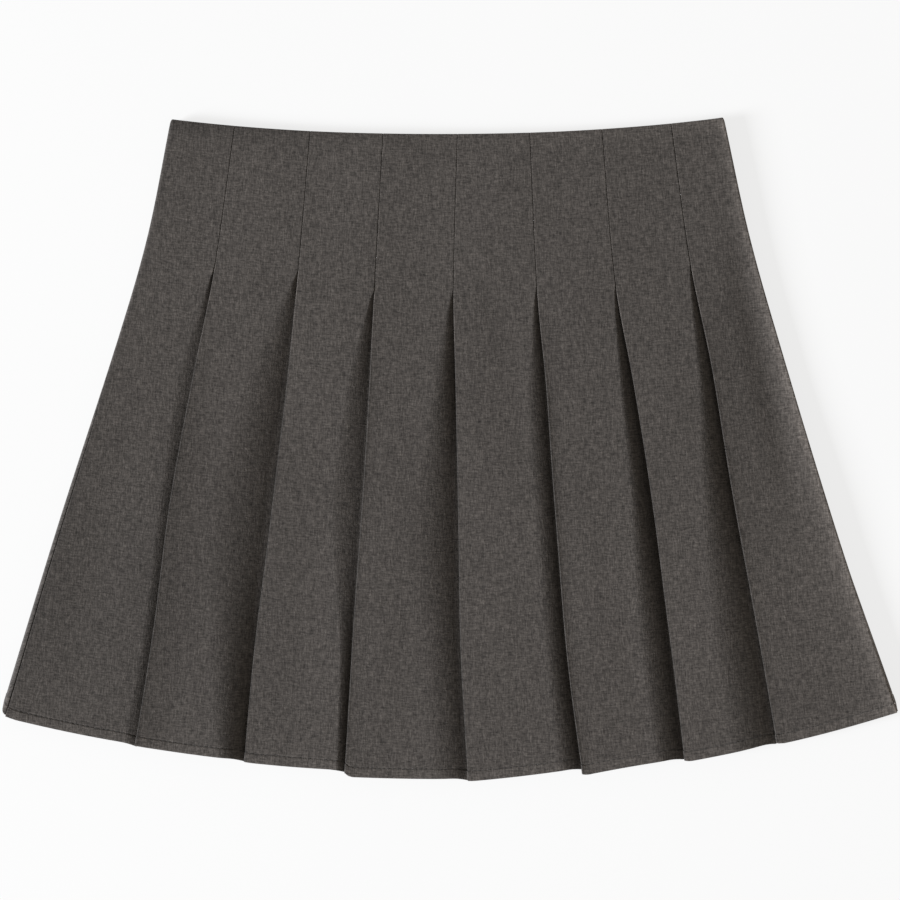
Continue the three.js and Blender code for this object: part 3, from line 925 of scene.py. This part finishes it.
def stitch_tree():
    """A node tree that lays one thread at each step along a path."""
    tree = bpy.data.node_groups.new("hem_stitches", "GeometryNodeTree")
    face = tree.interface
    face.new_socket("Geometry", in_out="INPUT", socket_type="NodeSocketGeometry")
    for name in ("Pitch", "Length", "Thread"):
        face.new_socket(name, in_out="INPUT", socket_type="NodeSocketFloat")
    face.new_socket("Seed", in_out="INPUT", socket_type="NodeSocketInt")
    face.new_socket("Finish", in_out="INPUT", socket_type="NodeSocketMaterial")
    face.new_socket("Geometry", in_out="OUTPUT", socket_type="NodeSocketGeometry")
    sizes = tree.nodes.new("NodeGroupInput").outputs

    def node(kind, *links, **settings):
        """A node with its settings, its inputs joined or set by name or place."""
        made = tree.nodes.new(kind)
        for key, value in settings.items():
            setattr(made, key, value)
        for key, value in links:
            if isinstance(value, bpy.types.NodeSocket):
                tree.links.new(value, made.inputs[key])
            else:
                made.inputs[key].default_value = value
        return made

    path = node("GeometryNodeMeshToCurve", ("Mesh", sizes["Geometry"]))
    steps = node("GeometryNodeResampleCurve", ("Curve", path.outputs[0]),
                 ("Length", sizes["Pitch"]), mode="LENGTH")
    run = node("GeometryNodeInputTangent")
    outward = node("GeometryNodeInputNamedAttribute", ("Name", "outward"),
                   data_type="FLOAT_VECTOR")
    turned = node("FunctionNodeAxesToRotation", (0, outward.outputs[0]), (1, run.outputs[0]),
                  primary_axis="Z", secondary_axis="X")
    half = node("ShaderNodeMath", (0, sizes["Length"]), (1, 0.5), operation="MULTIPLY")
    thin = node("ShaderNodeMath", (0, sizes["Thread"]), (1, 0.5), operation="MULTIPLY")
    shape = node("ShaderNodeCombineXYZ", (0, half.outputs[0]), (1, thin.outputs[0]),
                 (2, thin.outputs[0]))
    ball = node("GeometryNodeMeshUVSphere", ("Segments", RING_SIDES), ("Rings", RINGS),
                ("Radius", 1.0))
    smooth = node("GeometryNodeSetShadeSmooth", ("Geometry", ball.outputs[0]))
    thread = node("GeometryNodeTransform", ("Geometry", smooth.outputs[0]),
                  ("Scale", shape.outputs[0]))
    vary = node("FunctionNodeRandomValue", ("Min", SMALLEST), ("Max", LARGEST),
                ("Seed", sizes["Seed"]), data_type="FLOAT_VECTOR")
    laid = node("GeometryNodeInstanceOnPoints", ("Points", steps.outputs[0]),
                ("Instance", thread.outputs[0]), ("Rotation", turned.outputs[0]),
                ("Scale", vary.outputs[0]))
    real = node("GeometryNodeRealizeInstances", ("Geometry", laid.outputs[0]))
    finish = node("GeometryNodeSetMaterial", ("Geometry", real.outputs[0]),
                  ("Material", sizes["Finish"]))
    tree.links.new(finish.outputs[0], node("NodeGroupOutput").inputs[0])
    return tree


# %% Running the tree
def run_nodes(path, tree, values):
    """What a tree makes from a path, as a plain mesh in a piece of its own."""
    modifier = path.modifiers.new("stitches", "NODES")
    modifier.node_group = tree
    for item in tree.interface.items_tree:
        if item.in_out == "INPUT" and item.name in values:
            modifier[item.identifier] = values[item.name]
    bpy.context.view_layer.update()
    evaluated = path.evaluated_get(bpy.context.evaluated_depsgraph_get())
    mesh = bpy.data.meshes.new_from_object(evaluated)
    name = path.name.replace("_path", "")
    bpy.data.objects.remove(path)
    mesh.name = name
    piece = bpy.data.objects.new(name, mesh)
    bpy.context.scene.collection.objects.link(piece)
    print(name, "has", sum(len(face.vertices) - 2 for face in mesh.polygons), "triangles")
    return piece


# %% [markdown]
# ## Suiting
# The cloth is a plain grey-brown weave with slubs: threads that are thicker for a short way, so
# short light and dark streaks run both down and across. A stretched noise gives streaks of each
# kind, and a finer one gives the grain of single threads. All are read from the cloth's own map,
# so they turn round every fold with the cloth. A little sheen stands for the fibres' nap.
#
# The two helpers below make a material's nodes and set the shader's own values. A value that is
# the same all over is set on the shader itself, because an export keeps it only there.

# %% Shading helpers
def finish_nodes(name):
    """For a new material, a function that adds a node and one that sets its shader."""
    material = bpy.data.materials.new(name)
    material.use_nodes = True
    tree = material.node_tree

    def node(kind, links=(), **settings):
        made = tree.nodes.new(kind)
        for key, value in settings.items():
            setattr(made, key, value)
        for key, value in dict(links).items():
            if isinstance(value, bpy.types.NodeSocket):
                tree.links.new(value, made.inputs[key])
            else:
                made.inputs[key].default_value = value
        return made.outputs[0] if made.outputs else made

    def shader(**values):
        principled = tree.nodes["Principled BSDF"]
        for key, value in values.items():
            socket = principled.inputs[key.replace("_", " ")]
            if isinstance(value, bpy.types.NodeSocket):
                tree.links.new(value, socket)
            else:
                socket.default_value = value
        return material

    return node, shader


# %% The cloth's finish
SUITING_COLOUR = (0.0611, 0.0538, 0.0487)
CONTRAST = 1.7  # light threads stand out from the cloth as much as dark ones
BUMP_HEIGHT = 0.00012  # metres
STREAKS = {  # width, length in metres, whether they run across, place in the noise, and weight
    "slubs down": (0.0022, 0.010, False, 3.1, 0.18),
    "slubs over": (0.0022, 0.010, True, 7.7, 0.22),
    "threads down": (0.0009, 0.0040, False, 11.3, 0.93),
    "threads over": (0.0009, 0.0040, True, 13.9, 1.10),
    "grain": (0.0009, 0.0009, False, 1.3, 0.62),
    "broad": (0.050, 0.080, False, 5.9, 0.05),
}


def streaks(node, cloth, across, along, turned, seed):
    """Light and dark slubs so wide and so long, in metres, down the cloth or across it."""
    scale = (1 / along, 1 / across, 1) if turned else (1 / across, 1 / along, 1)
    place = node("ShaderNodeMapping", {"Vector": cloth, "Scale": scale,
                                       "Location": (seed, seed, seed)})
    return node("ShaderNodeTexNoise", {"Vector": place, "Scale": 1.0, "Detail": 2.0,
                                       "Roughness": 0.55})


def weighed(node, parts):
    """The sum of values that are about 0.5 each, each made 0 at its middle and given a weight."""
    total = 1.0
    for value, weight in parts:
        total = node("ShaderNodeMath", {0: value, 1: weight, 2: total}, operation="MULTIPLY_ADD")
        total = node("ShaderNodeMath", {0: total, 1: weight / 2}, operation="SUBTRACT")
    return total


def suiting_finish():
    node, shader = finish_nodes("suiting")
    cloth = node("ShaderNodeUVMap", uv_map="cloth")
    tone = weighed(node, [(streaks(node, cloth, *kind), weight)
                          for *kind, weight in STREAKS.values()])
    tone = node("ShaderNodeMath", {0: tone, 1: CONTRAST}, operation="POWER")
    # the attribute's painted light and shade multiply the cloth's colour
    shade = node("ShaderNodeAttribute", attribute_name="shade").node.outputs["Fac"]
    shaded = node("ShaderNodeMath", {0: tone, 1: shade}, operation="MULTIPLY")
    colour = node("ShaderNodeVectorMath", {0: SUITING_COLOUR, "Scale": shaded}, operation="SCALE")
    high = node("ShaderNodeMath", {0: tone, 1: BUMP_HEIGHT}, operation="MULTIPLY")
    bump = node("ShaderNodeBump", {"Height": high, "Distance": 1.0, "Strength": 1.0})
    rough = node("ShaderNodeMapRange", {"Value": tone, "From Min": 0.7, "From Max": 1.3,
                                        "To Min": 0.95, "To Max": 0.85})
    return shader(Base_Color=colour, Roughness=rough, Normal=bump, Sheen_Weight=0.12,
                  Sheen_Roughness=0.5, Specular_IOR_Level=0.25)


suiting = suiting_finish()
for piece in (front, back):
    piece.data.materials.append(suiting)
print("the suiting mixes", len(STREAKS), "kinds of streak")

# %% [markdown]
# ## Thread
# The hem is sewn in thread of the cloth's own brown, but darker and a little smoother than the
# cloth. The turns of its twist are seen as a fine mottle.

# %% The thread's finish
THREAD_COLOUR = (0.030, 0.027, 0.025)


def thread_finish():
    node, shader = finish_nodes("thread")
    place = node("ShaderNodeTexCoord").node.outputs["Object"]
    twist = node("ShaderNodeTexNoise", {"Vector": place, "Scale": 2600.0, "Detail": 1.0})
    tone = node("ShaderNodeMapRange", {"Value": twist, "To Min": 0.75, "To Max": 1.25})
    colour = node("ShaderNodeVectorMath", {0: THREAD_COLOUR, "Scale": tone}, operation="SCALE")
    return shader(Base_Color=colour, Roughness=0.7, Sheen_Weight=0.1)


# %% The stitches
thread = thread_finish()
tree = stitch_tree()
sizes = {"Pitch": STITCH_PITCH * MM, "Length": STITCH_LENGTH * MM, "Thread": THREAD * MM,
         "Seed": 5, "Finish": thread}
front_stitches = run_nodes(path_object("front_hem_stitches_path", stitch_lines(front_rows)),
                           tree, sizes)
back_stitches = run_nodes(path_object("back_hem_stitches_path", stitch_lines(back_rows)),
                          tree, sizes)

# %% [markdown]
# ## Each piece's flat cut
# Both pieces are sheets of cloth that lie one on the other. A sheet's flat cut is as wide as its
# widest row is long with every pleat opened, and the strips between the rows give its area. The
# stitches are sewn in the cloth. The frame's own part for each piece is hidden, and the cloth and
# its stitches all ride on the one body.


def flat_cut(rows):
    """Width, length and area of a piece's cloth before it was folded, in metres."""
    def middle(row):
        return (row.outside + row.inside) / 2
    widths = np.array([np.linalg.norm(np.diff(middle(row), axis=0), axis=1).sum() for row in rows])
    heights = np.array([middle(row)[:, 1].mean() for row in rows])
    area = ((widths[:-1] + widths[1:]) / 2 * -np.diff(heights)).sum()
    return widths.max() * MM, (heights[0] - heights[-1]) * MM, area * MM ** 2


floor_name = "floor"
for piece, rows, below, node_name in ((front, front_rows, "back_cloth", "front"),
                                      (back, back_rows, floor_name, "back")):
    width, length, area = flat_cut(rows)
    print(piece.name, "was cut", round(width, 3), "by", round(length, 3), "m, area", round(area, 3))
    stitches = front_stitches if piece is front else back_stitches
    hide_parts(node_name)
    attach(piece, "root")
    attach(stitches, "root")

# %% [markdown]
# ## Floor
# The skirt lies on a plain pale floor, a hair below the cloth so that the two never meet. The
# floor glows softly and its own colour is dark. So it looks nearly white, while little of the
# lamp's light shows on it, and the shadow beside the skirt stays faint.

# %% Floor
FLOOR_DROP = 0.0002
FLOOR_GLOW = 0.785
FLOOR_HALF_WIDTH = 2e4
floor_corners = FLOOR_HALF_WIDTH * np.array([(-1, -1, 0), (1, -1, 0), (1, 1, 0), (-1, 1, 0)])
floor = mesh_object(floor_name, floor_corners - (0, 0, FLOOR_DROP / MM),
                    np.array([(0, 1, 2, 3)]))


def floor_finish():
    node, shader = finish_nodes("floor")
    place = node("ShaderNodeTexCoord").node.outputs["Object"]
    cloud = node("ShaderNodeTexNoise", {"Vector": place, "Scale": 3.0})
    pale = node("ShaderNodeMapRange", {"Value": cloud, "To Min": 0.15, "To Max": 0.165})
    colour = node("ShaderNodeCombineColor", {0: pale, 1: pale, 2: pale})
    return shader(Base_Color=colour, Roughness=0.9, Specular_IOR_Level=0.1,
                  Emission_Color=(1, 1, 1, 1), Emission_Strength=FLOOR_GLOW)


floor.data.materials.append(floor_finish())
floor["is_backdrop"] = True
print("the floor lies", FLOOR_DROP / MM, "mm below the skirt")

# %% [markdown]
# ## Light
# One lamp stands low on the left, a little towards the hem. Cloth that faces it is lit. Cloth
# that rolls down to the right, to pass under the next fold, turns away from it and darkens, and
# so each fold is drawn by a soft dark band on its left. Light from all round keeps those bands
# from going black. The lamp is slightly cool and the surroundings slightly warm, so the bands
# look warm beside the faces.

# %% Light
KEY_FROM = Vector((-7.2, -1.8, 3.0))
KEY_WIDTH, KEY_POWER = 2.6, 1390.0
AMBIENT = 0.30
KEY_TINT, AMBIENT_TINT = (0.974, 1.0, 1.037), (1.07, 1.0, 0.90, 1)

lamp = bpy.data.lights.new("key", "AREA")
lamp.size, lamp.energy, lamp.color = KEY_WIDTH, KEY_POWER, KEY_TINT
key = bpy.data.objects.new("key", lamp)
key.location = KEY_FROM
key.rotation_euler = (-KEY_FROM).to_track_quat("-Z", "Y").to_euler()
bpy.context.scene.collection.objects.link(key)

world = bpy.data.worlds.new("studio")
world.use_nodes = True
world.node_tree.nodes["Background"].inputs["Color"].default_value = AMBIENT_TINT
world.node_tree.nodes["Background"].inputs["Strength"].default_value = AMBIENT
bpy.context.scene.world = world
bpy.context.scene.view_settings.view_transform = "Standard"

# %% [markdown]
# ## Camera
# The camera looks straight down on the middle of the skirt. It frames a width a little more than
# the hem's, measured at the height of the cloth's faces and not on the floor.

# %% Camera
FRAME_WIDTH, LENS, SENSOR = 0.540, 100.0, 36.0
FACE_HEIGHT = 0.009

view = bpy.data.cameras.new("camera")
view.lens, view.sensor_width = LENS, SENSOR
camera = bpy.data.objects.new("camera", view)
camera.location = (0, 0, FACE_HEIGHT + FRAME_WIDTH * LENS / SENSOR)
bpy.context.scene.collection.objects.link(camera)
bpy.context.scene.camera = camera
print("the camera is", round(camera.location.z, 3), "m up")

# %% [markdown]
# ## The finished size
# The box of the finished skirt is printed beside the one that the frame had. Dressing the frame
# must not change its size.

# %% Sizes and the end
boxes = {"cad": [list(corner) for corner in cad_box],
         "visual": [list(corner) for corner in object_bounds()]}
for name, (low, high) in boxes.items():
    print(name, "box", [round(a, 4) for a in low], [round(b, 4) for b in high])
